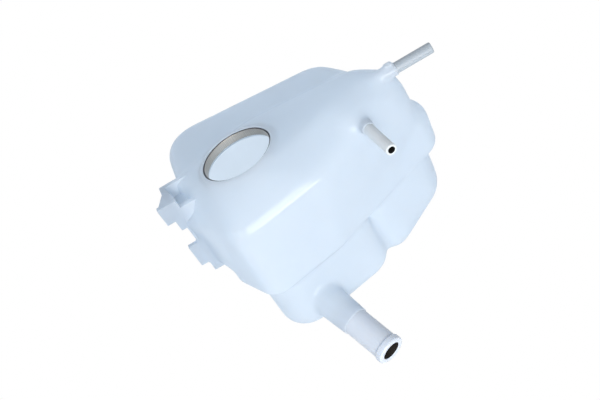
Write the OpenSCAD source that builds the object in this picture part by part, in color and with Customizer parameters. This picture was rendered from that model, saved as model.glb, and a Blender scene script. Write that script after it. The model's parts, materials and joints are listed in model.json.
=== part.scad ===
// Coolant expansion tank for an engine bay: one blow-moulded milky body with a wide
// filler neck, a bottom hose outlet and two small vent tubes.
// Millimetres. The origin is the centre of the sealing ring's top edge, +Z is the neck's
// axis, +X runs along the mould's parting plane towards the side vent, -Y is the front.

/* [Filler neck] */
// Clear bore of the metal sealing ring
ring_bore = 50; // [46:1:54]
// Wall of the metal sealing ring
ring_wall = 1.2; // [0.8:0.1:2]
// Height of the metal sealing ring
ring_h = 6; // [5:0.5:10]
// Radial play between the ring and the neck
ring_play = 0.1; // [0.05:0.05:0.2]
// Plastic wall round the sealing ring
neck_wall = 3.4; // [2.6:0.1:4.5]
// Plastic lip above the sealing ring
lip_h = 0.6; // [0.4:0.1:2]
// Thickness of the ledge that the ring stands on
ledge_t = 2; // [1.5:0.5:4]
// Height of the ring's top edge above the body's top
neck_rise = 3; // [2:0.5:5]

/* [Body] */
// Wall thickness of the blown shell
wall = 2.6; // [2:0.1:3.2]
// From the neck's axis to the front wall
front_reach = 52; // [48:1:58]
// From the neck's axis to the left wall
left_reach = 46; // [44:1:52]
// From the neck's axis to the right-hand end
right_reach = 121; // [114:1:132]
// From the neck's axis to the rear wall
rear_reach = 90; // [84:1:98]
// Set-back of the right-hand bulge behind the front wall
bulge_back = 31; // [27:1:35]
// Height of the upper body, from its top to the overhang
upper_h = 83; // [76:1:95]
// Height of the sump below the overhang
sump_h = 46; // [40:1:55]
// Drop of the rear lobe's top below the body's top
rear_drop = 4; // [2:0.5:8]

/* [Outlet] */
// Outside diameter of the outlet tube
outlet_d = 20; // [18:0.5:23]
// Bore of the outlet tube
outlet_bore = 14; // [10:0.5:15]
// Length of the outlet tube outside its collar
outlet_len = 34; // [26:1:42]
// Length of the moulded collar in front of the sump
outlet_collar = 25; // [18:1:30]
// Height of the hose bead over the outlet tube
bead_h = 0.9; // [0.6:0.1:1.6]
// Length of the bead's round land
bead_land = 4; // [3:0.5:6]
// Angle of the outlet towards the right of the front
outlet_turn = 24; // [18:1:30]
// Angle of the outlet below level
outlet_dip = 24; // [18:1:28]

/* [Vents] */
// Outside diameter of the vent tubes
vent_d = 8; // [7:0.5:9]
// Bore of the vent tubes
vent_bore = 5; // [3:0.5:5.5]
// Length of the front vent tube outside its stub
front_vent_len = 31; // [24:1:38]
// Length of the side vent tube outside its stub
side_vent_len = 28; // [22:1:36]
// Length of the moulded stub of the front vent
front_stub_len = 4; // [3:0.5:7]
// Length of the moulded stub of the side vent
side_stub_len = 7; // [5:0.5:10]

/* [Tube seats] */
// Depth of each tube's shank inside its moulded collar
seat_depth = 8; // [5:0.5:10]
// Step from each tube down to its shank
shank_step = 0.6; // [0.4:0.1:0.8]
// Radial play between a shank and its collar
seat_play = 0.1; // [0.05:0.05:0.2]
// Plastic left outside each tube where its collar ends
collar_lip = 0.7; // [0.4:0.1:1.5]

/* [Mounting ears] */
// Thickness of the flange that carries the ears
flange_t = 4; // [3:0.5:6]
// Front face of the flange, in front of the neck's axis
flange_front = 4; // [2:0.5:6]
// Reach of the upper ear beyond the left wall
ear_out = 21; // [20:1:26]
// Height of the upper ear
ear_h = 12; // [10:1:15]
// Depth of the upper ear from front to back
ear_depth = 26; // [22:1:30]
// Clearance of the slot in the upper ear at its front, measured from the left wall
ear_slot = 6.5; // [5:0.5:9]
// Height of the lower ear
lower_ear_h = 19; // [16:1:24]
// Gap between the two ears
ear_gap = 24; // [20:1:28]

/* [Hidden] */

top_z = -neck_rise;
over_z = top_z - upper_h;
floor_z = over_z - sump_h;
left_x = -left_reach;
front_y = -front_reach;
bulge_y = front_y + bulge_back;
rear_z = top_z - rear_drop;
ear_drop = 5;
ear_top = top_z - ear_drop;
ear_low = ear_top - ear_h;

ring_r = ring_bore / 2;
ring_out_r = ring_r + ring_wall;
neck_r = ring_out_r + neck_wall;
throat_r = ring_r + ring_wall / 4;

body_fn = 26;
cavity_fn = 16;
tube_fn = 64;
cut = 0.5;

outlet_root = [2, front_y + 8, over_z - 30];
front_vent_root = [85, bulge_y, top_z - 17];
side_vent_root = [right_reach - 6, 8, top_z - 7];
front_vent_turn = 11;
front_vent_dip = 5;

// How far each moulded collar and its passage are sunk in the body, and the collar's extra
// radius at its root.
outlet_sunk = 8;
outlet_flare = 2.2;
outlet_passage = 14;
front_vent_sunk = 7;
front_vent_flare = 1.4;
front_vent_passage = 14;
side_vent_sunk = 17;
side_vent_flare = 2;
nub = [6, 5, 5];
nub_back = 4;
throat_sunk = 8;

// A disc of radius r with a rounded rim of radius e: the corner of a blown lobe.
module puck(r, e, fn) {
    rotate_extrude($fn = fn) intersection() {
        translate([r - e, 0]) circle(r = e, $fn = fn * 2 / 3);
        translate([0, -e]) square([r, 2 * e]);
    }
}

// A soft lobe stretched over pucks [x, y, z, radius, rim], moved in by inset.
module lobe(pucks, inset) {
    hull() for (p = pucks) translate([p[0], p[1], p[2]])
        puck(p[3] - inset, p[4] - inset, inset > 0 ? cavity_fn : body_fn);
}

upper = [
    [left_x + 27, front_y + 15, over_z + 6, 15, 6],
    [left_x + 15, -13, over_z + 6, 16, 6],
    [left_x + 22, 16, over_z + 6, 24, 6],
    [22, front_y + 32, over_z + 6, 21, 6],
    [right_reach - 17, 20, over_z + 6, 17, 6],
    [left_x + 29, front_y + 15, top_z - 28, 15, 14],
    [left_x + 16, -10, top_z - 30, 16, 12],
    [left_x + 20, 14, top_z - 24, 20, 10],
    [34, front_y + 36, top_z - 26, 26, 16],
    [0, -4, top_z - 8, neck_r + 3, 10],
    [32, -6, top_z - 13, 18, 13],
    [14, 22, top_z - 8, 22, 8],
    [left_x + 18, 16, top_z - 10, 18, 8],
    [right_reach - 32, 17, top_z - 10, 17, 10],
    [right_reach - 24, 14, top_z - 20, 20, 17],
];
right_bulge = [
    [76, bulge_y + 24, over_z + 16, 16, 8],
    [75, bulge_y + 18, top_z - 42, 17, 14],
    [74, bulge_y + 17, top_z - 17, 17, 14],
    [82, bulge_y + 30, top_z - 13, 18, 12],
    [right_reach - 18, 17, over_z + 30, 18, 12],
    [right_reach - 21, 14, top_z - 23, 21, 18],
];
belt = [
    [62, 2, over_z + 7, 20, 7],
    [right_reach - 14, 20, over_z + 7, 18, 7],
    [right_reach - 14, 20, over_z + 26, 20, 18],
    [62, 20, over_z + 26, 20, 16],
];
rear = [
    [left_x + 16, rear_reach - 24, rear_z - 14, 24, 14],
    [left_x + 18, 22, rear_z - 14, 24, 14],
    [62, rear_reach - 40, rear_z - 14, 26, 14],
    [79, 32, rear_z - 14, 20, 14],
    [left_x + 16, rear_reach - 24, over_z + 8, 24, 8],
    [left_x + 18, 22, over_z + 8, 24, 8],
    [62, rear_reach - 40, over_z + 8, 26, 8],
    [79, 32, over_z + 8, 20, 8],
];
sump_left = [
    [left_x + 34, front_y + 28, floor_z + 14, 22, 14],
    [36, front_y + 39, floor_z + 14, 19, 14],
    [36, 24, floor_z + 14, 18, 14],
    [left_x + 34, 24, floor_z + 14, 22, 14],
    [left_x + 34, front_y + 28, over_z + 12, 22, 8],
    [36, front_y + 39, over_z + 12, 19, 8],
    [36, 24, over_z + 12, 18, 8],
    [left_x + 34, 24, over_z + 12, 22, 8],
];
sump_right = [
    [62, 4, floor_z + 14, 20, 16],
    [64, 28, floor_z + 14, 17, 14],
    [right_reach - 32, 20, floor_z + 26, 24, 22],
    [62, 4, over_z + 12, 20, 8],
    [64, 28, over_z + 12, 17, 8],
    [right_reach - 27, 20, over_z + 12, 22, 8],
];

// The cheek that fills the corner between the left wall and the flange.
cheek_r = 5;
cheek = [
    [left_x - 4.5, -0.5, ear_low - 8, cheek_r, cheek_r],
    [left_x - 4.5, -0.5, over_z + 24, cheek_r, cheek_r],
    [left_x + 15, -13, ear_low - 14, 16, 12],
    [left_x + 15, -13, over_z + 16, 16, 8],
];

module body_lobes(inset = 0) {
    lobe(upper, inset);
    lobe(cheek, inset);
    lobe(right_bulge, inset);
    lobe(belt, inset);
    lobe(rear, inset);
    lobe(sump_left, inset);
    lobe(sump_right, inset);
}

// Puts its children at a tube's root, with +Z along the tube and out of the tank.
module at_outlet() {
    translate(outlet_root) rotate([0, 0, outlet_turn]) rotate([90 + outlet_dip, 0, 0]) children();
}

module at_front_vent() {
    translate(front_vent_root) rotate([0, 0, front_vent_turn])
        rotate([90 + front_vent_dip, 0, 0]) children();
}

module at_side_vent() {
    translate(side_vent_root) rotate([0, 90, 0]) children();
}

// A moulded collar of length len for a tube of diameter d, with its root sunk in the body.
module collar(d, len, flare, sunk) {
    translate([0, 0, -sunk])
        cylinder(r1 = d / 2 + flare, r2 = d / 2 + collar_lip, h = len + sunk, $fn = tube_fn);
}

// The room that a tube's shank and bore take out of its collar.
module collar_room(d, bore, len, sunk) {
    translate([0, 0, -sunk]) cylinder(r = bore / 2, h = len + sunk, $fn = tube_fn);
    translate([0, 0, len - seat_depth])
        cylinder(r = d / 2 - shank_step + seat_play, h = seat_depth + cut, $fn = tube_fn);
}

// A tube whose shank stands in a collar of length collar_len.
module tube(d, bore, collar_len, len) {
    translate([0, 0, collar_len]) difference() {
        union() {
            translate([0, 0, -seat_depth]) cylinder(r = d / 2 - shank_step, h = seat_depth, $fn = tube_fn);
            cylinder(r = d / 2, h = len, $fn = tube_fn);
            children();
        }
        translate([0, 0, -seat_depth - cut])
            cylinder(r = bore / 2, h = len + seat_depth + 2 * cut, $fn = tube_fn);
    }
}

// The stepped flange on the left wall, drawn in the plane of the neck's axis.
ear_x = left_x - ear_out;
lower_top = ear_low - ear_gap;
lower_low = lower_top - lower_ear_h;
step_h = 9;
step_in = 6;
web_in = 10;
lower_in = 2;
foot_in = 8;
flange_root = 8;
ear_rise = 3;
ear_corner = 16;
slot_floor = 5;
slot_walls = 8;
slot_spread = 5.5;
slot_lip = 4;

module flange() {
    translate([0, flange_t - flange_front, 0]) rotate([90, 0, 0]) linear_extrude(flange_t) polygon([
        [left_x + flange_root, ear_top],
        [ear_x, ear_top],
        [ear_x, ear_low],
        [ear_x + step_in, ear_low],
        [ear_x + step_in, ear_low - step_h],
        [ear_x + web_in, ear_low - step_h],
        [ear_x + web_in, lower_top],
        [ear_x + lower_in, lower_top],
        [ear_x + lower_in, lower_low],
        [ear_x + foot_in, lower_low],
        [ear_x + foot_in, lower_low - step_h],
        [left_x + flange_root, lower_low - step_h],
    ]);
}

module upper_ear() {
    translate([0, -flange_front, ear_low]) linear_extrude(ear_h + ear_rise) polygon([
        [left_x + flange_root, 0],
        [ear_x, 0],
        [ear_x + step_in, ear_corner],
        [ear_x + step_in - 1, ear_depth],
        [left_x + flange_root, ear_depth],
    ]);
}

// The pocket between the front plate, the ear's outer wall and the tank's own wall.
module upper_ear_slot() {
    slot_y = flange_t - flange_front;
    slot_back = slot_y + ear_depth - slot_walls;
    translate([0, 0, ear_low + slot_floor]) linear_extrude(ear_h) polygon([
        [left_x - ear_slot, slot_y],
        [left_x + flange_root, slot_y],
        [left_x + flange_root, slot_back],
        [left_x - ear_slot - slot_spread, slot_back],
    ]);
    translate([left_x - ear_slot, -flange_front - cut, ear_top - slot_lip])
        cube([ear_slot + flange_root, flange_t + 2 * cut, ear_h]);
}

module blown_shell() {
    difference() {
        union() {
            body_lobes();
            difference() {
                union() {
                    flange();
                    upper_ear();
                }
                upper_ear_slot();
            }
            at_outlet() collar(outlet_d, outlet_collar, outlet_flare, outlet_sunk);
            at_front_vent() collar(vent_d, front_stub_len, front_vent_flare, front_vent_sunk);
            at_side_vent() collar(vent_d, side_stub_len, side_vent_flare, side_vent_sunk);
            translate(side_vent_root + [side_stub_len - nub_back, 0, vent_d / 2]) cube(nub, center = true);
        }
        body_lobes(wall);
    }
}

module tank_body() {
    color("#DCE9F6") difference() {
        union() {
            blown_shell();
            translate([0, 0, -ring_h - ledge_t])
                cylinder(r = neck_r, h = ring_h + ledge_t + lip_h, $fn = tube_fn);
        }
        translate([0, 0, -ring_h - ledge_t - throat_sunk])
            cylinder(r = throat_r, h = ring_h + ledge_t + throat_sunk, $fn = tube_fn);
        translate([0, 0, -ring_h])
            cylinder(r = ring_out_r + ring_play, h = ring_h + lip_h + cut, $fn = tube_fn);
        at_outlet() collar_room(outlet_d, outlet_bore, outlet_collar, outlet_passage);
        at_front_vent() collar_room(vent_d, vent_bore, front_stub_len, front_vent_passage);
        at_side_vent() collar_room(vent_d, vent_bore, side_stub_len, side_vent_sunk);
    }
}

module neck_ring() {
    color("#9C9894") translate([0, 0, -ring_h]) difference() {
        cylinder(r = ring_out_r, h = ring_h, $fn = tube_fn);
        translate([0, 0, -cut]) cylinder(r = ring_r, h = ring_h + 2 * cut, $fn = tube_fn);
    }
}

module outlet_tube() {
    bead_r = outlet_d / 2 + bead_h;
    color("#CBD5E6") at_outlet() tube(outlet_d, outlet_bore, outlet_collar, outlet_len) {
        translate([0, 0, outlet_len - bead_land - 2 * bead_h]) {
            cylinder(r1 = outlet_d / 2, r2 = bead_r, h = bead_h, $fn = tube_fn);
            translate([0, 0, bead_h]) cylinder(r = bead_r, h = bead_land, $fn = tube_fn);
            translate([0, 0, bead_h + bead_land])
                cylinder(r1 = bead_r, r2 = outlet_d / 2, h = bead_h, $fn = tube_fn);
        }
    }
}

module front_vent_tube() {
    color("#C5D0D6") at_front_vent() tube(vent_d, vent_bore, front_stub_len, front_vent_len);
}

module side_vent_tube() {
    color("#C5D0D6") at_side_vent() tube(vent_d, vent_bore, side_stub_len, side_vent_len);
}

tank_body();
neck_ring();
outlet_tube();
front_vent_tube();
side_vent_tube();
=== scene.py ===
# %% [markdown]
# # A blow-moulded coolant expansion tank
#
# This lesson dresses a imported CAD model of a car's coolant expansion tank. The real tank is
# one blown shell of natural polypropylene with a metal ring in its filler neck, a hose
# outlet at the bottom and two thin vent tubes. The CAD model holds the sizes. Here each
# piece gets the soft edges, the finish and the light that the eye expects.

import json
from math import cos, pi, radians, sin

import bmesh
import bpy
import numpy as np
from mathutils import Matrix, Vector

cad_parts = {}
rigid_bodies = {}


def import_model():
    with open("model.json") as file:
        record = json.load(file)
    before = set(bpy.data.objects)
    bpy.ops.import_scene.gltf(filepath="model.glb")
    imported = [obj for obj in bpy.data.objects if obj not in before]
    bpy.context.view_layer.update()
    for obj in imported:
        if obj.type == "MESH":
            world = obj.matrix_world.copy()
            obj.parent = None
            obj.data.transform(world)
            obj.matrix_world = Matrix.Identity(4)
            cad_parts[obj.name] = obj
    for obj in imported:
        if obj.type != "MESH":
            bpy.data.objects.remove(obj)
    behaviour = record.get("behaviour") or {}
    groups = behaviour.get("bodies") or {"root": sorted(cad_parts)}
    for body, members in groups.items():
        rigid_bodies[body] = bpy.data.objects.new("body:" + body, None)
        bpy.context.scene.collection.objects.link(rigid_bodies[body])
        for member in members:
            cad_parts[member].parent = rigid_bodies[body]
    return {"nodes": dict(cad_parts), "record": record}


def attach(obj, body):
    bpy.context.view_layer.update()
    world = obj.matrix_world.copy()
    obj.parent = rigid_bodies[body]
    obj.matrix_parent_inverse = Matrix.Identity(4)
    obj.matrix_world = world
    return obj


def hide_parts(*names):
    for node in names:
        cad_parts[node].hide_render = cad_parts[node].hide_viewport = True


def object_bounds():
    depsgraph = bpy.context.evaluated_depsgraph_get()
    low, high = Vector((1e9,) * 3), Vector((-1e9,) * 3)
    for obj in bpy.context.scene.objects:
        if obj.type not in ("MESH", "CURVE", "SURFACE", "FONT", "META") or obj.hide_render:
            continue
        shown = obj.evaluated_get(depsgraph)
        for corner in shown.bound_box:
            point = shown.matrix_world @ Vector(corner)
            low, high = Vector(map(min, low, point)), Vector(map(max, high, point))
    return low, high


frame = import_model()
cad_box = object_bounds()

MM = 0.001
mounts = {m["name"]: m for m in frame["record"]["mounts"]}
print("nodes:", sorted(frame["nodes"]))
print("mounts:", sorted(mounts))

# %% [markdown]
# ## Sizes that the pieces share
#
# A piece that seats in another takes its place from the same numbers, so nothing is fitted by
# eye. The radii and places of the neck and of the tubes come from the mounts of the packed
# record. Only what no mount states, such as a wall or the depth of a seat, is written here.

# %% Shared sizes
RING_R = mounts["neck_bore"]["dims"]["r_mm"] * MM
RING_H = mounts["neck_bore"]["dims"]["length_mm"] * MM
RING_WALL = 1.2 * MM
RING_PLAY = 0.1 * MM
NECK_WALL = 3.4 * MM
LIP_H = 0.6 * MM
LEDGE_T = 2 * MM
NECK_R = RING_R + RING_WALL + NECK_WALL
THROAT_R = RING_R + RING_WALL / 4

VENT_R = mounts["front_vent_pipe"]["dims"]["r_mm"] * MM
VENT_BORE_R = 2.5 * MM
FRONT_VENT_LEN = mounts["front_vent_pipe"]["dims"]["length_mm"] * MM
SIDE_VENT_LEN = mounts["side_vent_pipe"]["dims"]["length_mm"] * MM

BEAD_R = mounts["outlet_bead"]["dims"]["r_mm"] * MM
BEAD_LAND = mounts["outlet_bead"]["dims"]["length_mm"] * MM
BEAD_H = 0.9 * MM
OUTLET_R = BEAD_R - BEAD_H
OUTLET_BORE_R = 7 * MM
OUTLET_LEN = 34 * MM

SEAT_DEPTH = 8 * MM
SHANK_STEP = 0.6 * MM
SEAT_PLAY = 0.1 * MM
print("ring radius", RING_R, "outlet radius", round(OUTLET_R, 5), "vent radius", VENT_R)

# %% [markdown]
# ## Placing work on a slanted tube
#
# Each tube is drawn upright, with its collar's end at zero, and then turned onto its own axis.
# A matrix made from the mount's axis and its place does that in one step, and the same matrix
# places the cutters that open the seats in the shell.

# %% Tube frames
UPRIGHT = Matrix.Identity(4)


def tube_frame(mount, back):
    """A matrix with +Z along a mount's axis and its origin that far back from the mount."""
    axis = Vector(mount["axis"]).normalized()
    place = Vector(mount["pos_m"]) - axis * back
    turn = axis.to_track_quat("Z", "Y").to_matrix().to_4x4()
    return Matrix.Translation(place) @ turn


OUTLET = tube_frame(mounts["outlet_bead"], OUTLET_LEN - BEAD_H - BEAD_LAND / 2)
FRONT_VENT = tube_frame(mounts["front_vent_pipe"], FRONT_VENT_LEN / 2)
SIDE_VENT = tube_frame(mounts["side_vent_pipe"], SIDE_VENT_LEN / 2)
print("outlet collar ends at", [round(v, 4) for v in OUTLET.translation])

# %% [markdown]
# ## Helpers for solids
#
# A blown tank is cut and joined like clay, so three helpers do the joining here: one makes an
# object from a bmesh, one applies its modifiers, and one applies a boolean. The exact solver
# is slower than the fast one, but it keeps a closed shell closed.


# %% Objects and booleans
def new_object(name, bm):
    """Turns a bmesh into a linked object with smooth faces."""
    mesh = bpy.data.meshes.new(name)
    bm.to_mesh(mesh)
    bm.free()
    mesh.shade_smooth()
    piece = bpy.data.objects.new(name, mesh)
    bpy.context.scene.collection.objects.link(piece)
    return piece


def bake(piece):
    """Applies a piece's modifiers to its mesh."""
    graph = bpy.context.evaluated_depsgraph_get()
    mesh = bpy.data.meshes.new_from_object(piece.evaluated_get(graph))
    piece.modifiers.clear()
    old = piece.data
    piece.data = mesh
    bpy.data.meshes.remove(old)
    return piece


def combine(piece, other, how):
    """Applies one exact boolean and removes the operand."""
    mod = piece.modifiers.new(how, "BOOLEAN")
    mod.operation = how
    mod.solver = "EXACT"
    mod.object = other
    bake(piece)
    bpy.data.objects.remove(other)
    print(piece.name, how.lower(), len(piece.data.polygons), "faces")


# %% [markdown]
# Two simple shapes do most of the cutting: a rod and a slab. A rod is turned by a small angle,
# because the exact solver has the least trouble where no edge of one solid lies on an edge of
# the other.

# %% Rods and slabs
WELD = 0.001 * MM
TUBE_SIDES = 96
VENT_SIDES = 48
ROD_TURN = radians(1.7)


def add_rod(bm, r, low, high, place=UPRIGHT, sides=TUBE_SIDES):
    """Adds a closed rod from low to high along the Z axis of a frame."""
    middle = Matrix.Translation((0, 0, (low + high) / 2))
    bmesh.ops.create_cone(bm, cap_ends=True, segments=sides, radius1=r, radius2=r,
                          depth=high - low,
                          matrix=place @ middle @ Matrix.Rotation(ROD_TURN, 4, "Z"))


def merge_into(bm, part):
    """Adds one bmesh to another and frees it."""
    mesh = bpy.data.meshes.new("part")
    part.to_mesh(mesh)
    part.free()
    bm.from_mesh(mesh)
    bpy.data.meshes.remove(mesh)


def add_slab(bm, outline, place, thick, edge):
    """Adds an outline in mm, thickened along a frame's Z axis, with bevelled edges."""
    made = bmesh.new()
    base = made.faces.new([made.verts.new((x * MM, y * MM, 0)) for x, y in outline])
    grown = bmesh.ops.extrude_face_region(made, geom=[base])
    lifted = [v for v in grown["geom"] if isinstance(v, bmesh.types.BMVert)]
    bmesh.ops.translate(made, verts=lifted, vec=(0, 0, thick))
    bmesh.ops.recalc_face_normals(made, faces=made.faces)
    if edge:
        bmesh.ops.bevel(made, geom=made.edges[:], offset=edge, segments=3, profile=0.5,
                        affect="EDGES", material=-1, clamp_overlap=True)
    made.transform(place)
    merge_into(bm, made)


def slab_object(name, outline, low, thick):
    """A plain upright slab, in mm, for a boolean."""
    bm = bmesh.new()
    add_slab(bm, outline, Matrix.Translation((0, 0, low * MM)), thick * MM, 0)
    return new_object(name, bm)


print("a rod has", TUBE_SIDES, "sides, and a vent's has", VENT_SIDES)

# %% [markdown]
# ## From CAD facets to a blown skin
#
# A blown shell has no sharp edge: hot plastic is pressed against a mould by air, and every
# corner and crease comes out soft. The CAD solid has the right forms but its lobes are
# faceted and meet in hard creases. One way to soften it is to bevel each edge, but there are
# thousands. The way chosen here is to remesh a merged copy into small even quads, as a voxel
# grid does, and then relax them.

# %% Copy of the CAD body
body = bmesh.new()
body.from_mesh(frame["nodes"]["tank_body"].data)
bmesh.ops.remove_doubles(body, verts=body.verts, dist=WELD)
print("CAD body:", len(body.verts), "corners,", len(body.faces), "facets")

# %% [markdown]
# The upper ear is cut off first, because it comes back as a crisp piece. Then rods plug the
# neck, the outlet and both vents of the copy, each ending just below its collar's end. The
# remesh sees one closed solid, and the cavity inside is dropped.

# %% Outer skin
SKIN_GRID = 1.3 * MM
PLUG_GAP = 0.15 * MM
PLUG_OVERLAP = 1.2 * MM
NECK_PLUG_DEPTH = 6 * MM
OUTLET_PLUG_DEPTH = 34 * MM
VENT_PLUG_DEPTH = 12 * MM
EAR_ROOM_LOW, EAR_ROOM_T = -22, 24
ear_room_line = [
    (-70, -6), (-46.2, -6), (-46.2, 3.5), (-49.1, 10), (-51.1, 14), (-52, 18), (-52.3, 22),
    (-52.5, 26), (-70, 26),
]

skin = new_object("tank_shell", body.copy())
combine(skin, slab_object("ear_room", ear_room_line, EAR_ROOM_LOW, EAR_ROOM_T), "DIFFERENCE")
outer = bmesh.new()
outer.from_mesh(skin.data)
add_rod(outer, RING_R + RING_WALL + PLUG_OVERLAP, -RING_H - LEDGE_T - NECK_PLUG_DEPTH,
        LIP_H - PLUG_GAP)
add_rod(outer, OUTLET_R, -OUTLET_PLUG_DEPTH, -PLUG_GAP, OUTLET)
add_rod(outer, VENT_R, -VENT_PLUG_DEPTH, -PLUG_GAP, FRONT_VENT)
add_rod(outer, VENT_R, -VENT_PLUG_DEPTH, -PLUG_GAP, SIDE_VENT)
outer.to_mesh(skin.data)
outer.free()


def remesh_evenly(piece, grid):
    """Replaces a solid's facets by even quads on a voxel grid, without what lies inside."""
    mod = piece.modifiers.new("grid", "REMESH")
    mod.mode = "VOXEL"
    mod.voxel_size = grid
    bake(piece)
    print(piece.name, "has", len(piece.data.polygons), "quads")


remesh_evenly(skin, SKIN_GRID)

# %% [markdown]
# The relaxing pass: each corner moves towards the middle of its neighbours. A few dozen small
# passes melt the facets and fill the creases with soft fillets, as the blown plastic does.
# That alone would shrink the tank by a millimetre or two. So what the passes took away is
# itself relaxed and given back: the broad loss returns, and the facets don't.


# %% Relaxing
def relax(piece, passes_at):
    """Moves each corner halfway to the middle of its neighbours, as often as its place asks, and
    gives back the evened-out part of what that took away."""
    mesh = piece.data
    count = len(mesh.vertices)
    points = np.empty(3 * count)
    mesh.vertices.foreach_get("co", points)
    points = points.reshape(-1, 3)
    ends = np.empty(2 * len(mesh.edges), dtype=np.int32)
    mesh.edges.foreach_get("vertices", ends)
    first, second = ends.reshape(-1, 2).T
    neighbours = np.bincount(ends, minlength=count)[:, None]
    passes = np.array([passes_at(Vector(p)) for p in points])

    def level(field):
        field = field.copy()
        for k in range(int(np.ceil(passes.max()))):
            sums = np.stack([np.bincount(first, field[second, c], count)
                             + np.bincount(second, field[first, c], count) for c in range(3)], 1)
            field += np.where((passes > k)[:, None], 0.5 * (sums / neighbours - field), 0)
        return field

    soft = level(points)
    soft += level(points - soft)
    mesh.vertices.foreach_set("co", soft.ravel())
    mesh.update()
    print(piece.name, "relaxed by up to", int(passes.max()), "passes")


# %% [markdown]
# How soft the plastic came out differs from place to place. The domed top is the softest, and
# so is the crease between the two lobes under the overhang. The overhang's own edge and the
# collars stay the firmest. So the number of passes is worked out for each corner from where
# it lies. Each pair of lengths says where a region starts and where it has its full effect.

# %% Softness by place
SOFT_PASSES = 24
DOME_PASSES = 100
EDGE_PASSES = 2
CREASE_PASSES = 60
COLLAR_PASSES = 8

OVERHANG_Z = -86 * MM
EDGE_RISE = 1 * MM
EDGE_ZONE = (4 * MM, 10 * MM)
NECK_ZONE = (NECK_R + 1 * MM, NECK_R + 12 * MM)
DOME_ZONE = (-60 * MM, -35 * MM)
BELOW_NECK = (16 * MM, 24 * MM)
CREASE_X = 50 * MM
CREASE_ZONE = (6 * MM, 14 * MM)
CREASE_DEPTH = (92 * MM, 98 * MM)
COLLAR_ROOMS = [
    (OUTLET, 13 * MM, 22 * MM), (FRONT_VENT, 7 * MM, 6 * MM), (SIDE_VENT, 7 * MM, 12 * MM),
]


def ramp(value, low, high):
    """Grows from 0 at low to 1 at high."""
    return min(1.0, max(0.0, (value - low) / (high - low)))


def in_collar(p):
    """Tells whether a point is on one of the moulded collars."""
    for place, r, reach in COLLAR_ROOMS:
        q = place.inverted() @ p
        if q.xy.length < r and q.z > -reach:
            return True
    return False


def skin_passes(p):
    """Few passes at the overhang's edge and the collars, many on the domed top."""
    if in_collar(p):
        return COLLAR_PASSES
    from_edge = ramp(abs(p.z - OVERHANG_Z - EDGE_RISE), *EDGE_ZONE)
    from_neck = ramp(p.xy.length, *NECK_ZONE)
    dome = ramp(p.z, *DOME_ZONE) * max(from_neck, ramp(-p.z, *BELOW_NECK))
    crease = (1 - ramp(abs(p.x - CREASE_X), *CREASE_ZONE)) * ramp(-p.z, *CREASE_DEPTH)
    extra = (DOME_PASSES - SOFT_PASSES) * dome + CREASE_PASSES * crease
    return EDGE_PASSES + (SOFT_PASSES - EDGE_PASSES) * from_edge + extra


relax(skin, skin_passes)

# %% [markdown]
# What melts away of the flange, the neck and the collars comes back later as crisp pieces. So
# the soft ends of the collars are pushed back a little behind the places of the crisp ones.
# The giving back can also lift the flat rear by a hair, and it is pressed back inside the CAD
# model's box.

# %% Trim the soft skin
SOFT_END = -0.6 * MM
REAR_Y = cad_box[1][1] - 0.05 * MM

for v in skin.data.vertices:
    v.co.y = min(v.co.y, REAR_Y)
    for place, r, _ in COLLAR_ROOMS:
        q = place.inverted() @ v.co
        if q.xy.length < r and q.z > SOFT_END:
            q.z = SOFT_END
            v.co = place @ q
print("softened box:", [round(v * 1000, 1) for v in skin.dimensions])

# %% [markdown]
# ## The cavity
#
# The wall of a blown tank is thin, and through the neck the eye sees its inner side. The
# inner skin is in the CAD mesh already, joined to the outer one only by the neck's throat and
# the tube passages. With their faces deleted the inner skin is an island of its own. Its
# holes are filled, and a coarser remesh makes it one soft solid that can be cut away.

# %% Inner skin
ON_WALL = 0.06 * MM
SUMP_FLOOR = Vector((0, 0, -0.129))


def on_cylinder(face, place_inverse, r, low):
    """Tells whether all corners of a face lie on a cylinder about a frame's Z axis."""
    for v in face.verts:
        p = place_inverse @ v.co
        if abs(p.xy.length - r) > ON_WALL or p.z < low:
            return False
    return True


passages = [
    (UPRIGHT, THROAT_R, -40 * MM), (OUTLET.inverted(), OUTLET_BORE_R, -60 * MM),
    (FRONT_VENT.inverted(), VENT_BORE_R, -40 * MM),
    (SIDE_VENT.inverted(), VENT_BORE_R, -50 * MM),
]
ways = [f for f in body.faces if any(on_cylinder(f, m, r, low) for m, r, low in passages)]
bmesh.ops.delete(body, geom=ways, context="FACES")
start = min(body.verts, key=lambda v: (v.co - SUMP_FLOOR).length)
island, front_line = {start}, [start]
while front_line:
    v = front_line.pop()
    for e in v.link_edges:
        w = e.other_vert(v)
        if e.link_faces and w not in island:
            island.add(w)
            front_line.append(w)
bmesh.ops.delete(body, geom=[v for v in body.verts if v not in island], context="VERTS")
bmesh.ops.holes_fill(body, edges=body.edges)
bmesh.ops.triangulate(body, faces=body.faces)
bmesh.ops.recalc_face_normals(body, faces=body.faces)
print("inner island:", len(body.faces), "faces,", round(body.calc_volume() * 1e6, 1), "ml")

cavity = new_object("cavity", body)
remesh_evenly(cavity, 2 * SKIN_GRID)
relax(cavity, lambda p: SOFT_PASSES // 4)

# %% [markdown]
# ## Crisp pieces of the same moulding
#
# Some places of the real tank are sharp because the mould pinches them solid: the ears, the
# neck's lip and the collars round the tubes. They are drawn from outlines with a small
# rounding at each corner, and joined to the soft skin by a boolean union, so that the shell
# stays one piece. A round one is an outline spun about its axis.


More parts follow.
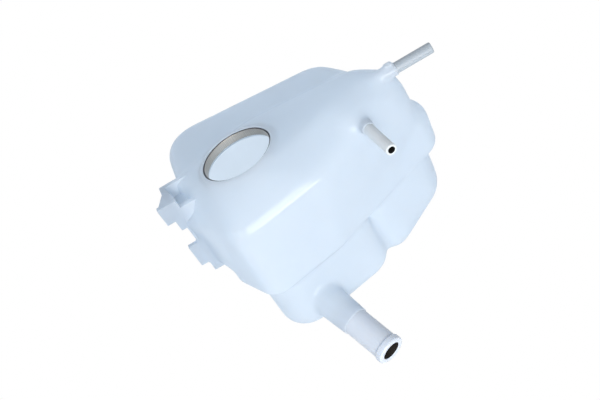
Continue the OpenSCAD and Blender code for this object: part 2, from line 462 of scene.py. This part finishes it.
# %% Spun outlines
def rounded(corners, steps=4):
    """Turns corners (r, z, fillet) of a closed outline into points with round corners."""
    points = []
    for i, (r, z, fillet) in enumerate(corners):
        here = Vector((r, z))
        if not fillet:
            points.append(here)
            continue
        back = (Vector(corners[i - 1][:2]) - here).normalized()
        ahead = (Vector(corners[(i + 1) % len(corners)][:2]) - here).normalized()
        half = back.angle(ahead) / 2
        centre = here + (back + ahead).normalized() * fillet / sin(half)
        reach = fillet * cos(half) / sin(half)
        first = here + back * reach - centre
        last = here + ahead * reach - centre
        turn = last.angle_signed(first)
        for k in range(steps + 1):
            points.append(centre + Matrix.Rotation(turn * k / steps, 2) @ first)
    return points


def add_spun(bm, corners, place=UPRIGHT, sides=TUBE_SIDES):
    """Adds the solid that an outline in (r, z) makes when it is spun about a frame's Z axis."""
    made = bmesh.new()
    ring = [made.verts.new((p.x, 0, p.y)) for p in rounded(corners)]
    edges = [made.edges.new((ring[i - 1], ring[i])) for i in range(len(ring))]
    bmesh.ops.spin(made, geom=ring + edges, cent=(0, 0, 0), axis=(0, 0, 1), angle=2 * pi,
                   steps=sides, use_merge=True, use_duplicate=False)
    bmesh.ops.remove_doubles(made, verts=made.verts, dist=2 * WELD)
    bmesh.ops.recalc_face_normals(made, faces=made.faces)
    made.transform(place)
    merge_into(bm, made)


# %% [markdown]
# The stepped flange is drawn in the plane of the neck's axis, as on the CAD model. The neck's
# lip is a short drum with a round shoulder, and the collars are short cones. None of them
# touches another, so one union takes them all.

# %% Flange, neck and collars
EAR_EDGE = 0.5 * MM
FLANGE_T = 4 * MM
NECK_ROOT = 13 * MM
LIP_ROUND = 2.4 * MM
COLLAR_ROUND = 0.6 * MM
flange_line = [
    (-38, -5), (-67, -5), (-67, -20), (-61, -20), (-61, -29), (-57, -29),
    (-57, -44), (-65, -44), (-65, -63), (-59, -63), (-59, -72), (-38, -72),
]
to_flange = Matrix.Rotation(pi / 2, 4, "X")
collars = [
    (OUTLET, 11.7 * MM, 22 * MM, 10.7 * MM),
    (FRONT_VENT, 4.9 * MM, 3 * MM, 4.7 * MM),
    (SIDE_VENT, 4.9 * MM, 7 * MM, 4.7 * MM),
]

crisp = bmesh.new()
add_slab(crisp, flange_line, to_flange, FLANGE_T, EAR_EDGE)
add_spun(crisp, [
    (0, -NECK_ROOT, 0), (NECK_R, -NECK_ROOT, 0), (NECK_R, LIP_H, LIP_ROUND), (0, LIP_H, 0)])
for place, root_r, root, end_r in collars:
    add_spun(crisp, [(0, -root, 0), (root_r, -root, 0), (end_r, 0, COLLAR_ROUND), (0, 0, 0)],
             place)
first_join = new_object("first_join", crisp)
print("first join:", len(first_join.data.polygons), "faces")

# %% [markdown]
# The upper ear is a block, which gets a pocket for the bracket's tab further on. It overlaps
# the flange, so it goes into a second union, together with the small nub on top of the side
# vent's collar.

# %% Upper ear and nub
EAR_LOW = -19.9 * MM
EAR_H = 14.8 * MM
NUB_BACK = 4 * MM
NUB_LIFT = 4 * MM
NUB_H = 5 * MM
NUB_EDGE = 1.3 * MM
ear_line = [(-38, -2), (-66.2, -2), (-61, 12), (-62, 22), (-38, 22)]
nub_line = [(-3, -2.5), (3, -2.5), (3, 2.5), (-3, 2.5)]

block = bmesh.new()
add_slab(block, ear_line, Matrix.Translation((0, 0, EAR_LOW)), EAR_H, EAR_EDGE)
nub_place = SIDE_VENT @ Matrix.Translation((0, 0, -NUB_BACK))
nub_at = nub_place.translation + Vector((0, 0, NUB_LIFT))
add_slab(block, nub_line, Matrix.Translation(nub_at - Vector((0, 0, NUB_H / 2))), NUB_H,
         NUB_EDGE)
second_join = new_object("second_join", block)
print("second join:", len(second_join.data.polygons), "faces")

# %% [markdown]
# ## One shell
#
# Unions come first, then the cuts: the cavity, then the throat and the passages, and last the
# seats that are wider than the passages. Each operand holds only solids that don't touch each
# other, which is what the exact solver wants. Two cutters that overlap in one operand would
# leave a disc across the neck. So the throat, which flares out below the ring's ledge, is one
# spun solid.

# %% Cutters
SOCKET_OUT = 1 * MM
BORE_OVERLAP = 0.5 * MM
THROAT_LOW = -19 * MM
FLARE_R = THROAT_R + 2 * MM
FLARE_LOW, FLARE_HIGH = -11.5 * MM, -10 * MM
LEDGE_LOW = -RING_H - 0.7 * MM
throat_top = -RING_H + BORE_OVERLAP
throat_line = [
    (0, THROAT_LOW, 0), (THROAT_R, THROAT_LOW, 0), (FLARE_R, FLARE_LOW, 0),
    (FLARE_R, FLARE_HIGH, 0), (THROAT_R, LEDGE_LOW, 0), (THROAT_R, throat_top, 0),
    (0, throat_top, 0),
]

throats = bmesh.new()
add_spun(throats, throat_line, Matrix.Rotation(ROD_TURN, 4, "Z"), 2 * TUBE_SIDES)
for place, r, depth, sides in ((OUTLET, OUTLET_BORE_R, 39 * MM, TUBE_SIDES),
                               (FRONT_VENT, VENT_BORE_R, 18 * MM, VENT_SIDES),
                               (SIDE_VENT, VENT_BORE_R, 24 * MM, VENT_SIDES)):
    add_rod(throats, r, -depth, -SEAT_DEPTH + BORE_OVERLAP, place, sides)
ways_in = new_object("ways_in", throats)

seats = bmesh.new()
add_rod(seats, RING_R + RING_WALL + RING_PLAY, -RING_H, SOCKET_OUT, sides=2 * TUBE_SIDES)
for place, r, sides in ((OUTLET, OUTLET_R, TUBE_SIDES), (FRONT_VENT, VENT_R, VENT_SIDES),
                        (SIDE_VENT, VENT_R, VENT_SIDES)):
    add_rod(seats, r - SHANK_STEP + SEAT_PLAY, -SEAT_DEPTH, SOCKET_OUT, place, sides)
seat_cuts = new_object("seat_cuts", seats)
print("cutters:", len(ways_in.data.polygons), "and", len(seat_cuts.data.polygons), "faces")

# %% [markdown]
# The pocket and the plate's step are cut from both joins before they meet the skin. Then each
# operand gets the same two empty material slots, with its faces on the first for plastic that
# the mould touched, or on the second for plastic that only air touched. A boolean keeps the
# slot numbers, so the inner side can have its own finish later.

# %% Join and cut
POCKET_LOW = -15
PLATE_LOW = -12
POCKET_T = 18
pocket_line = [(-52.5, 0), (-37, 0), (-37, 18), (-58, 18)]
plate_line = [(-52.5, -5), (-37, -5), (-37, 0.5), (-52.5, 0.5)]
OUTSIDE, INSIDE = 0, 1

for outline, low in ((pocket_line, POCKET_LOW), (plate_line, PLATE_LOW)):
    for piece in (first_join, second_join):
        combine(piece, slab_object("pocket", outline, low, POCKET_T), "DIFFERENCE")
for piece, slot in ((skin, OUTSIDE), (first_join, OUTSIDE), (second_join, OUTSIDE),
                    (cavity, INSIDE), (ways_in, INSIDE), (seat_cuts, OUTSIDE)):
    piece.data.materials.clear()
    piece.data.materials.append(None)
    piece.data.materials.append(None)
    piece.data.polygons.foreach_set("material_index", [slot] * len(piece.data.polygons))
combine(skin, first_join, "UNION")
combine(skin, second_join, "UNION")
combine(skin, cavity, "DIFFERENCE")
combine(skin, ways_in, "DIFFERENCE")
combine(skin, seat_cuts, "DIFFERENCE")

# %% [markdown]
# The solver leaves a few faces that are too thin to see, and now and then a loose edge. They
# are dissolved, the pinholes that this opens are filled, and loose edges go. A closed shell
# has two faces at each edge, so the count of other edges has to be nought. Edges are then
# marked sharp where two faces meet at more than a set angle, and all others shade smoothly.

# %% Clean up
SHARP = radians(38)
PINHOLE_SIDES = 4

bm = bmesh.new()
bm.from_mesh(skin.data)
bmesh.ops.dissolve_degenerate(bm, edges=bm.edges, dist=2 * WELD)
bmesh.ops.holes_fill(bm, edges=bm.edges, sides=PINHOLE_SIDES)
loose = [e for e in bm.edges if not e.link_faces]
bmesh.ops.delete(bm, geom=loose, context="EDGES")
print("edges left open:", sum(len(e.link_faces) != 2 for e in bm.edges))
bm.to_mesh(skin.data)
bm.free()
skin.data.shade_smooth()
skin.data.set_sharp_from_angle(angle=SHARP)
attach(skin, "root")
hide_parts("tank_body")
print("shell box in mm:", [round(v * 1000, 1) for v in skin.dimensions])

# %% [markdown]
# ## The ring and the tubes
#
# The sealing ring is drawn sheet metal, rolled at both edges. The outlet is a straight pipe
# with a low, round hose bead, and the vents are thin pipes with soft ends. Each tube has a
# shank, a little thinner than itself, that stands in its collar with a tenth of a millimetre
# round it. All four are spun from their outlines, as they would be turned on a lathe. An
# extra corner in each bore marks how deep its painted shade reaches.


# %% Ring and tubes
def spun_piece(name, node, corners, place=UPRIGHT, sides=TUBE_SIDES):
    """Makes a spun object that stands for a CAD node."""
    bm = bmesh.new()
    add_spun(bm, corners, place, sides)
    piece = new_object(name, bm)
    piece.data.set_sharp_from_angle(angle=SHARP)
    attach(piece, "root")
    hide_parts(node)
    print(name, len(piece.data.polygons), "faces")
    return piece


RING_FOOT_ROUND = 0.3 * MM
RING_TOP_ROUND = 0.5 * MM
ring = spun_piece("sealing_ring", "neck_ring", [
    (RING_R, -RING_H, RING_FOOT_ROUND), (RING_R + RING_WALL, -RING_H, RING_FOOT_ROUND),
    (RING_R + RING_WALL, 0, RING_TOP_ROUND), (RING_R, 0, RING_TOP_ROUND),
], sides=2 * TUBE_SIDES)

OUTLET_SHADE_DEPTH = 20 * MM
BEAD_ROUND = 0.8 * MM
bead_low = OUTLET_LEN - BEAD_LAND - 2 * BEAD_H
bead_top = bead_low + BEAD_H + BEAD_LAND
outlet = spun_piece("outlet_pipe", "outlet_tube", [
    (OUTLET_BORE_R, -SEAT_DEPTH, 0), (OUTLET_R - SHANK_STEP, -SEAT_DEPTH, 0),
    (OUTLET_R - SHANK_STEP, 0, 0), (OUTLET_R, 0, 0),
    (OUTLET_R, bead_low, BEAD_ROUND), (BEAD_R, bead_low + BEAD_H, BEAD_ROUND),
    (BEAD_R, bead_top, BEAD_ROUND), (OUTLET_R, OUTLET_LEN, BEAD_ROUND / 2),
    (OUTLET_BORE_R, OUTLET_LEN, BEAD_ROUND), (OUTLET_BORE_R, OUTLET_LEN - OUTLET_SHADE_DEPTH, 0),
], OUTLET)

VENT_SHADE_DEPTH = 12 * MM
VENT_INNER_ROUND = 0.3 * MM


def vent_line(length, end_round):
    """The outline of a vent tube whose collar ends at z = 0."""
    shank = VENT_R - SHANK_STEP
    return [
        (VENT_BORE_R, -SEAT_DEPTH, 0), (shank, -SEAT_DEPTH, 0), (shank, 0, 0), (VENT_R, 0, 0),
        (VENT_R, length, end_round), (VENT_BORE_R, length, VENT_INNER_ROUND),
        (VENT_BORE_R, length - VENT_SHADE_DEPTH, 0),
    ]


front_vent = spun_piece("front_vent_pipe", "front_vent_tube",
                        vent_line(FRONT_VENT_LEN, end_round=0.5 * MM), FRONT_VENT, VENT_SIDES)
side_vent = spun_piece("side_vent_pipe", "side_vent_tube",
                       vent_line(SIDE_VENT_LEN, end_round=1.1 * MM), SIDE_VENT, VENT_SIDES)

# %% [markdown]
# ## Finishes
#
# All colours go through one function, from the hex code of the screen to linear light, and
# one function adds a node with its settings and links. Patterns use object coordinates, so
# they stay on the part wherever it is placed.


# %% Material helpers
def srgb(code):
    """Linear colour from a screen hex code."""
    values = [int(code[i:i + 2], 16) / 255 for i in (0, 2, 4)]
    linear = [v / 12.92 if v <= 0.04045 else ((v + 0.055) / 1.055) ** 2.4 for v in values]
    return (*linear, 1.0)


def add_node(tree, kind, inputs=None, links=None, **settings):
    """Adds a node, sets its settings and inputs, and links sockets of other nodes to it."""
    node = tree.nodes.new(kind)
    for key, value in settings.items():
        setattr(node, key, value)
    for key, value in (inputs or {}).items():
        node.inputs[key].default_value = value
    for key, socket in (links or {}).items():
        tree.links.new(socket, node.inputs[key])
    return node


def new_material(name):
    """An empty node material and its tree."""
    material = bpy.data.materials.new(name)
    material.use_nodes = True
    material.node_tree.nodes.clear()
    return material, material.node_tree


# A Mix node keeps sockets for each kind of data. These are the ones for colours.
MIX_A, MIX_B, MIX_COLOUR = 6, 7, 2
print("F2F3F5 in linear light:", [round(v, 3) for v in srgb("F2F3F5")])

# %% [markdown]
# The tank's plastic is natural polypropylene as blown: milky, faintly blue, with a satin
# skin. Light passes through its thin wall, so a share of the shader is translucent, and the
# rest spreads light under its skin. Broad clouds vary the tint and the sheen, as the wall's
# uneven thickness does, and a fine grain is the mould's blasted surface. Towards the flange
# a second, darker colour takes over. It is partly the denser plastic that the mould pinches
# solid, and partly painted shade, where the body's front keeps light off the flange.

# %% Milky plastic
CLOUD = 45.4545 * MM
GRAIN = 2.38095 * MM
CLOUD_DULL = 0.93
SHEEN_SPREAD = 0.05
DENSE_SHADE_FROM, DENSE_SHADE_TO = -47 * MM, -56 * MM
PLASTIC_IOR = 1.49
LIGHT_DEPTH = 4 * MM


def milky_plastic(name, colour, rough, through, bump_mm, deep=0.35, dense_and_shade=None):
    """A glossy skin over a milky, partly translucent plastic."""
    material, tree = new_material(name)
    place = add_node(tree, "ShaderNodeTexCoord").outputs["Object"]
    cloud = add_node(tree, "ShaderNodeTexNoise",
                     {"Scale": 1 / CLOUD, "Detail": 2.0, "Roughness": 0.5}, {"Vector": place})
    grain = add_node(tree, "ShaderNodeTexNoise",
                     {"Scale": 1 / GRAIN, "Detail": 2.0, "Roughness": 0.5}, {"Vector": place})
    sheen = add_node(tree, "ShaderNodeMapRange",
                     {"To Min": rough - SHEEN_SPREAD, "To Max": rough + SHEEN_SPREAD},
                     {"Value": cloud.outputs["Fac"]})
    dull = tuple(CLOUD_DULL * c for c in srgb(colour)[:3]) + (1.0,)
    tint = add_node(tree, "ShaderNodeMix", {MIX_A: dull, MIX_B: srgb(colour)},
                    {0: cloud.outputs["Fac"]}, data_type="RGBA").outputs[MIX_COLOUR]
    # Towards the flange a darker colour takes over: partly denser pinched plastic, partly
    # painted shade from the body's front.
    if dense_and_shade:
        across = add_node(tree, "ShaderNodeSeparateXYZ", {}, {"Vector": place}).outputs["X"]
        pinched_and_shaded = add_node(tree, "ShaderNodeMapRange",
                           {"From Min": DENSE_SHADE_FROM, "From Max": DENSE_SHADE_TO}, {"Value": across})
        tint = add_node(tree, "ShaderNodeMix", {MIX_B: srgb(dense_and_shade)},
                        {0: pinched_and_shaded.outputs["Result"], MIX_A: tint},
                        data_type="RGBA").outputs[MIX_COLOUR]
    bump = add_node(tree, "ShaderNodeBump", {"Strength": 0.35, "Distance": bump_mm * MM},
                    {"Height": grain.outputs["Fac"]})
    gloss = add_node(tree, "ShaderNodeBsdfPrincipled", {
        "IOR": PLASTIC_IOR, "Subsurface Weight": deep, "Subsurface Scale": LIGHT_DEPTH,
        "Subsurface Radius": (0.8, 0.9, 1.0), "Specular IOR Level": 0.5,
    }, {
        "Base Color": tint, "Roughness": sheen.outputs["Result"],
        "Normal": bump.outputs["Normal"],
    })
    glow = add_node(tree, "ShaderNodeBsdfTranslucent", {}, {"Color": tint})
    both = add_node(tree, "ShaderNodeMixShader", {0: through},
                    {1: gloss.outputs[0], 2: glow.outputs[0]})
    add_node(tree, "ShaderNodeOutputMaterial", {}, {"Surface": both.outputs[0]})
    print(name, "lets", through, "of the light through")
    return material


# %% [markdown]
# The ring is stainless sheet, drawn in a press, which leaves fine lines along its height. The
# real lines are too fine to show at this size, so they are drawn about eight times as
# coarse, as a noise that runs round the ring and varies both the colour and the bump. Its
# cut edge and the bores of the pipes are painted dark as painted shade, because little light
# comes back from them.

# %% Steel and dark places
LINE_STEP = 0.436 * MM


def drawn_steel(name, dark, light):
    """Drawn sheet steel with fine lines along its height."""
    material, tree = new_material(name)
    place = add_node(tree, "ShaderNodeTexCoord").outputs["Object"]
    angle = add_node(tree, "ShaderNodeTexGradient", {}, {"Vector": place},
                     gradient_type="RADIAL")
    steps = add_node(tree, "ShaderNodeMath", {1: round(2 * pi * RING_R / LINE_STEP)},
                     {0: angle.outputs["Fac"]}, operation="MULTIPLY")
    lines = add_node(tree, "ShaderNodeTexNoise",
                     {"Scale": 1.0, "Detail": 3.0, "Roughness": 0.6},
                     noise_dimensions="1D")
    tree.links.new(steps.outputs[0], lines.inputs["W"])
    shade = add_node(tree, "ShaderNodeMix", {MIX_A: srgb(dark), MIX_B: srgb(light)},
                     {0: lines.outputs["Fac"]}, data_type="RGBA")
    bump = add_node(tree, "ShaderNodeBump", {"Strength": 0.6, "Distance": 0.05 * MM},
                    {"Height": lines.outputs["Fac"]})
    steel = add_node(tree, "ShaderNodeBsdfPrincipled", {"Metallic": 1.0, "Roughness": 0.42},
                     {"Base Color": shade.outputs[MIX_COLOUR],
                      "Normal": bump.outputs["Normal"]})
    add_node(tree, "ShaderNodeOutputMaterial", {}, {"Surface": steel.outputs[0]})
    return material


def matt_painted_shade(name, colour):
    """A dull, dark surface, used for painted shade."""
    material, tree = new_material(name)
    dull = add_node(tree, "ShaderNodeBsdfPrincipled",
                    {"Base Color": srgb(colour), "Roughness": 0.7})
    add_node(tree, "ShaderNodeOutputMaterial", {}, {"Surface": dull.outputs[0]})
    return material


ring_steel = drawn_steel("stainless steel, drawn sheet", "857F77", "E2DAD0")
# Painted shade: the ring's cut edge and the pipes' bores get dark colours where little light
# comes back.
cut_edge_shade = matt_painted_shade("painted shade on the ring's cut edge", "3E3F45")
bore_shade = matt_painted_shade("painted shade in a hose pipe's bore", "17130F")
print("lines round the ring:", round(2 * pi * RING_R / LINE_STEP))

# %% [markdown]
# The shell is bright and half translucent. Its inner side was never pressed on the mould, so
# it is rougher, and nearly all of its light has come through the wall. The outlet is a
# thicker injection moulding, so it is greyer and passes little light. The vents are
# polyamide, greyer still and matt. The side one is the same plastic with the deeper grey of
# the two, and that grey is painted shade, which dims the vent against the light on it.

# %% Plastics
# Its second colour darkens the flange: denser pinched plastic, and partly painted shade.
shell_plastic = milky_plastic("natural polypropylene, blow-moulded", "ECF3FA",
                              rough=0.16, through=0.60, bump_mm=0.03, dense_and_shade="D2DBE4")
inner_plastic = milky_plastic("natural polypropylene, inner side", "F2F7FB",
                              rough=0.5, through=0.90, bump_mm=0.05)
outlet_plastic = milky_plastic("natural polypropylene, moulded outlet", "DDE5F0",
                               rough=0.32, through=0.15, bump_mm=0.03)
vent_plastic = milky_plastic("polyamide vent pipe, milky grey", "EEF5F9",
                             rough=0.40, through=0.20, bump_mm=0.005, deep=0.2)
# The same polyamide as the front vent, darkened as painted shade.
side_vent_shaded_plastic = milky_plastic("polyamide vent pipe, painted shade", "BAC4CC",
                             rough=0.40, through=0.20, bump_mm=0.005, deep=0.2)

# %% [markdown]
# Each piece gets its materials in slots. The shell's faces have their slot numbers from the
# booleans. On the tubes and the ring a test on the middle of each face picks the ones that
# get painted shade: the wall of a bore from just below its free end, and the ring's top edge.

# %% Paint the pieces
BORE_EDGE = 0.05 * MM
OUTLET_RIM = 0.5 * MM
VENT_RIM = 0.2 * MM
CUT_EDGE_Z = -0.3 * MM


def paint(piece, *materials):
    """Puts materials in a piece's slots, and leaves each face's slot number as it is."""
    slots = [face.material_index for face in piece.data.polygons]
    piece.data.materials.clear()
    for material in materials:
        piece.data.materials.append(material)
    piece.data.polygons.foreach_set("material_index", slots)


def paint_second(piece, material, choose):
    """Gives the faces whose middle passes a test a second material."""
    piece.data.materials.append(material)
    slot = len(piece.data.materials) - 1
    chosen = [face for face in piece.data.polygons if choose(face.center)]
    for face in chosen:
        face.material_index = slot
    print(material.name, "on", len(chosen), "faces of", piece.name)


def in_bore(place, r, high, deep):
    """A test for points on the wall of a bore, from below its free end to where it ends."""
    back = place.inverted()

    def test(p):
        q = back @ p
        return q.xy.length < r + BORE_EDGE and high - deep < q.z < high

    return test


paint(skin, shell_plastic, inner_plastic)
paint(outlet, outlet_plastic)
paint(front_vent, vent_plastic)
paint(side_vent, side_vent_shaded_plastic)
paint(ring, ring_steel)
# Painted shade deep in the bores and on the ring's top edge.
paint_second(outlet, bore_shade,
             in_bore(OUTLET, OUTLET_BORE_R, OUTLET_LEN - OUTLET_RIM, OUTLET_SHADE_DEPTH))
paint_second(front_vent, bore_shade,
             in_bore(FRONT_VENT, VENT_BORE_R, FRONT_VENT_LEN - VENT_RIM, VENT_SHADE_DEPTH))
paint_second(side_vent, bore_shade,
             in_bore(SIDE_VENT, VENT_BORE_R, SIDE_VENT_LEN - VENT_RIM, VENT_SHADE_DEPTH))
paint_second(ring, cut_edge_shade, lambda p: p.z > CUT_EDGE_Z)

# %% [markdown]
# ## The picture
#
# The photograph looks down on the tank from its front, and the tank is rolled in the frame by
# about a third of a right angle. The camera stands where the outlines of the CAD model fit
# the photo: its place, view direction and roll are written here as found. The focal length
# and a small shift of the lens bring the outline of the dressed tank onto the photo's.

# %% Camera
CAMERA_AT = Vector((87.8, -645.5, 385.8)) * MM
VIEW = Vector((-0.0861, 0.8196, -0.5664)).normalized()
ROLL = radians(33.5)
LENS_MM = 67.0
SENSOR_MM = 36
SHIFT = (-0.0040, 0.0008)

level_right = VIEW.cross(Vector((0, 0, 1))).normalized()
level_up = level_right.cross(VIEW).normalized()
right = cos(ROLL) * level_right - sin(ROLL) * level_up
up = sin(ROLL) * level_right + cos(ROLL) * level_up
pose = Matrix((right, up, -VIEW)).transposed().to_4x4()
lens = bpy.data.cameras.new("photo_camera")
lens.lens = LENS_MM
lens.sensor_width = SENSOR_MM
lens.shift_x, lens.shift_y = SHIFT
camera = bpy.data.objects.new("photo_camera", lens)
camera.matrix_world = Matrix.Translation(CAMERA_AT) @ pose
bpy.context.scene.collection.objects.link(camera)
bpy.context.scene.camera = camera
print("camera right", [round(v, 3) for v in right])

# %% [markdown]
# ## Light
#
# The photo was taken under a large soft light in front of the tank. A narrow strip, low and
# to the right, draws the bright streak along the front shoulder, and a small lamp higher up
# adds a spark to it. A soft fill from behind shines through the milky walls. It isn't
# mirrored in them, because the photo shows no such reflection.

# %% Lamps
TANK_MIDDLE = Vector((0.03, 0.0, -0.06))


def soft_box(name, direction, distance, size, power, shines=True):
    """An area lamp that looks at the tank, and is mirrored in it if it shines."""
    lamp = bpy.data.lights.new(name, "AREA")
    lamp.shape = "RECTANGLE"
    lamp.size, lamp.size_y = size
    lamp.energy = power
    thing = bpy.data.objects.new(name, lamp)
    out = Vector(direction).normalized()
    turn = out.to_track_quat("Z", "Y").to_matrix().to_4x4()
    thing.matrix_world = Matrix.Translation(TANK_MIDDLE + out * distance) @ turn
    thing.visible_camera = False
    thing.visible_glossy = shines
    bpy.context.scene.collection.objects.link(thing)
    print(name, power, "W at", distance, "m")


soft_box("front_key", (0.06, -0.97, 0.13), distance=1.3, size=(0.6, 0.6), power=10.8)
soft_box("shoulder_strip", (0.33, -0.94, -0.07), distance=1.0, size=(0.36, 0.04), power=1.6)
soft_box("small_spark", (-0.05, -0.90, 0.43), distance=1.0, size=(0.04, 0.04), power=0.4)
soft_box("back_fill", (-0.15, 0.95, -0.20), distance=1.2, size=(0.5, 0.5), power=3.8,
         shines=False)

# %% [markdown]
# The floor lies well below the tank. A ray from the camera sees it as plain white, and so
# does a ray that a glossy or clear surface sends on. All other rays meet a matt floor, which
# gives the tank a little light from below.

# %% Floor
FLOOR_Z = -0.75
FLOOR_REACH = 6.0
WHITE = (1, 1, 1, 1)


def seen_directly(tree):
    """1 for rays from the camera, and for those that a glossy or clear surface sends on."""
    ray = add_node(tree, "ShaderNodeLightPath")
    either = add_node(tree, "ShaderNodeMath", {},
                      {0: ray.outputs["Is Camera Ray"], 1: ray.outputs["Is Glossy Ray"]},
                      operation="ADD", use_clamp=True)
    return add_node(tree, "ShaderNodeMath", {},
                    {0: either.outputs[0], 1: ray.outputs["Is Transmission Ray"]},
                    operation="ADD", use_clamp=True).outputs[0]


plane = bmesh.new()
bmesh.ops.create_grid(plane, x_segments=1, y_segments=1, size=FLOOR_REACH,
                      matrix=Matrix.Translation((0, 0, FLOOR_Z)))
floor = new_object("floor", plane)
floor_material, tree = new_material("white studio floor")
matt = add_node(tree, "ShaderNodeBsdfDiffuse", {"Color": srgb("F2F3F5")})
white = add_node(tree, "ShaderNodeEmission", {"Color": WHITE, "Strength": 1.0})
seen = add_node(tree, "ShaderNodeMixShader", {},
                {0: seen_directly(tree), 1: matt.outputs[0], 2: white.outputs[0]})
add_node(tree, "ShaderNodeOutputMaterial", {}, {"Surface": seen.outputs[0]})
floor.data.materials.append(floor_material)
print("floor at", FLOOR_Z, "m")

# %% [markdown]
# The world is a pale room that gets darker from the tank's left to its right, as the shading
# of its walls shows. The camera sees it as plain white, in the same way as the floor.

# %% World
LEFT_LEVEL, RIGHT_LEVEL = 1.0, 0.38

world = bpy.data.worlds.new("white room")
world.use_nodes = True
tree = world.node_tree
tree.nodes.clear()
way = add_node(tree, "ShaderNodeTexCoord").outputs["Generated"]
side = add_node(tree, "ShaderNodeSeparateXYZ", {}, {"Vector": way}).outputs["X"]
level = add_node(tree, "ShaderNodeMapRange", {
    "From Min": -1.0, "From Max": 1.0, "To Min": LEFT_LEVEL, "To Max": RIGHT_LEVEL,
}, {"Value": side})
room = add_node(tree, "ShaderNodeBackground", {"Color": srgb("EDF1F8")},
                {"Strength": level.outputs[0]})
white = add_node(tree, "ShaderNodeBackground", {"Color": WHITE, "Strength": 1.0})
seen = add_node(tree, "ShaderNodeMixShader", {},
                {0: seen_directly(tree), 1: room.outputs[0], 2: white.outputs[0]})
add_node(tree, "ShaderNodeOutputWorld", {}, {"Surface": seen.outputs[0]})
bpy.context.scene.world = world
bpy.context.scene.view_settings.view_transform = "Standard"

# %% [markdown]
# ## Compare the boxes and hand over
#
# The CAD part's box is printed here.

# %% Finish
print("CAD box:", cad_box)
